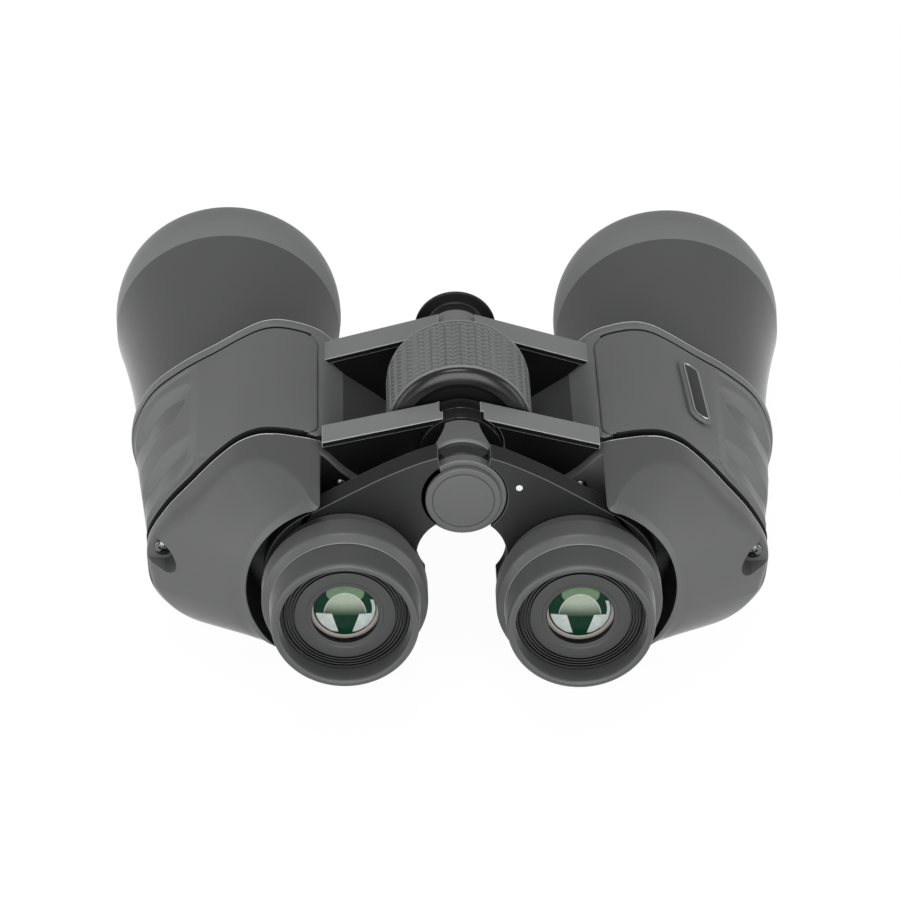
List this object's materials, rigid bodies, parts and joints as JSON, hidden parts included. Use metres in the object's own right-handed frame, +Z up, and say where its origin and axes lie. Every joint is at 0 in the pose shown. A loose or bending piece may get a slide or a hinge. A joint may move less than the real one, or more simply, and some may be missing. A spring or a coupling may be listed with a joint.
{
  "type": "binoculars",
  "caption": "Porro-prism binoculars with armoured prism housings on a centre hinge, a knurled focus wheel, an eyepiece bridge and a dioptre ring.",
  "frame": {"origin": "centre of the box round the object, at its lowest level, which is the underside of the objective hoods", "axes": "+X to the right as seen through the eyepieces, +Y forward along the optical axes, +Z up"},
  "size_m": [0.1858, 0.178, 0.0834],
  "materials": {
    "body_paint": "matte grey paint with a fine grain",
    "grip_rubber": "matte grey rubber",
    "black_paint": "satin black paint",
    "black_plastic": "smooth dark plastic",
    "glass": "polished optical glass with a green anti-reflection coating",
    "bare_metal": "turned, dark anodised",
    "brass": "turned",
    "screw_steel": "blackened steel"
  },
  "bodies": {
    "left_barrel": {"left_prism_housing": "body_paint", "left_grip_panel": "grip_rubber", "left_rear_cover": "body_paint", "left_rear_prism": "glass", "left_front_prism": "glass", "left_prism_shelf": "bare_metal", "left_objective_barrel": "body_paint", "left_objective_hood": "grip_rubber", "left_objective_cell": "black_paint", "left_objective_lens": "glass", "left_lens_retaining_ring": "black_paint", "left_outer_cover_screw": "screw_steel", "left_inner_cover_screw": "screw_steel", "left_front_hinge_arm": "body_paint", "left_rear_hinge_arm": "body_paint", "front_hinge_axle": "bare_metal", "rear_hinge_axle": "bare_metal", "hinge_collar": "body_paint"},
    "right_barrel": {"right_prism_housing": "body_paint", "right_grip_panel": "grip_rubber", "right_rear_cover": "body_paint", "right_rear_prism": "glass", "right_front_prism": "glass", "right_prism_shelf": "bare_metal", "right_objective_barrel": "body_paint", "right_objective_hood": "grip_rubber", "right_objective_cell": "black_paint", "right_objective_lens": "glass", "right_lens_retaining_ring": "black_paint", "right_outer_cover_screw": "screw_steel", "right_inner_cover_screw": "screw_steel", "right_front_hinge_arm": "body_paint", "right_rear_hinge_arm": "body_paint", "right_badge_plate": "black_plastic"},
    "tripod_cap": {"tripod_socket_cap": "black_plastic"},
    "focus_wheel": {"focus_wheel": "black_plastic", "focus_wheel_grip": "grip_rubber"},
    "left_eyepiece": {"left_bridge_arm": "black_paint", "left_eyepiece_tube": "bare_metal", "left_eyepiece_base_ring": "body_paint", "left_eyepiece_ring": "grip_rubber", "left_eyecup": "grip_rubber", "left_ocular_barrel": "black_paint", "left_ocular_bezel": "black_paint", "left_eye_lens": "glass", "left_field_lens": "glass", "bridge_hub_cap": "black_plastic", "focus_spindle": "brass"},
    "right_eyepiece": {"right_bridge_arm": "black_paint", "right_eyepiece_tube": "bare_metal", "right_eyepiece_base_ring": "body_paint"},
    "right_ocular": {"right_ocular_barrel": "black_paint", "right_ocular_bezel": "black_paint", "right_eye_lens": "glass", "right_field_lens": "glass"},
    "diopter_ring": {"right_diopter_ring": "grip_rubber", "right_eyecup": "grip_rubber"}
  },
  "joints": [
    {"name": "interpupillary_hinge", "type": "hinge", "parent": "left_barrel", "child": "right_barrel", "pos_m": [0, 0, 0.0645], "axis": [0, -1, 0], "range_deg": [-7.5, 30]},
    {"name": "focus_turn", "type": "hinge", "parent": "left_barrel", "child": "focus_wheel", "pos_m": [0, -0.02225, 0.0645], "axis": [0, 1, 0], "range_deg": [-135, 200]},
    {"name": "tripod_cap_out", "type": "slide", "parent": "left_barrel", "child": "tripod_cap", "axis": [0, 1, 0], "range_m": [0, 0.012]},
    {"name": "left_eyepiece_focus", "type": "slide", "parent": "left_barrel", "child": "left_eyepiece", "axis": [0, -1, 0], "range_m": [-0.00329, 0.00488]},
    {"name": "right_eyepiece_focus", "type": "slide", "parent": "right_barrel", "child": "right_eyepiece", "axis": [0, -1, 0], "range_m": [-0.0034, 0.005]},
    {"name": "diopter_travel", "type": "slide", "parent": "right_eyepiece", "child": "right_ocular", "axis": [0, -1, 0], "range_m": [-0.0014, 0.0014]},
    {"name": "diopter_turn", "type": "hinge", "parent": "right_ocular", "child": "diopter_ring", "pos_m": [0.0297, -0.0755, 0.0405], "axis": [0, 1, 0], "range_deg": [-75, 75]}
  ],
  "couplings": [
    {"joint": "focus_turn", "follows": "left_eyepiece_focus", "rad_per_m": 714.29},
    {"joint": "right_eyepiece_focus", "follows": "left_eyepiece_focus", "ratio": 1},
    {"joint": "diopter_turn", "follows": "diopter_travel", "rad_per_m": 909.09}
  ]
}
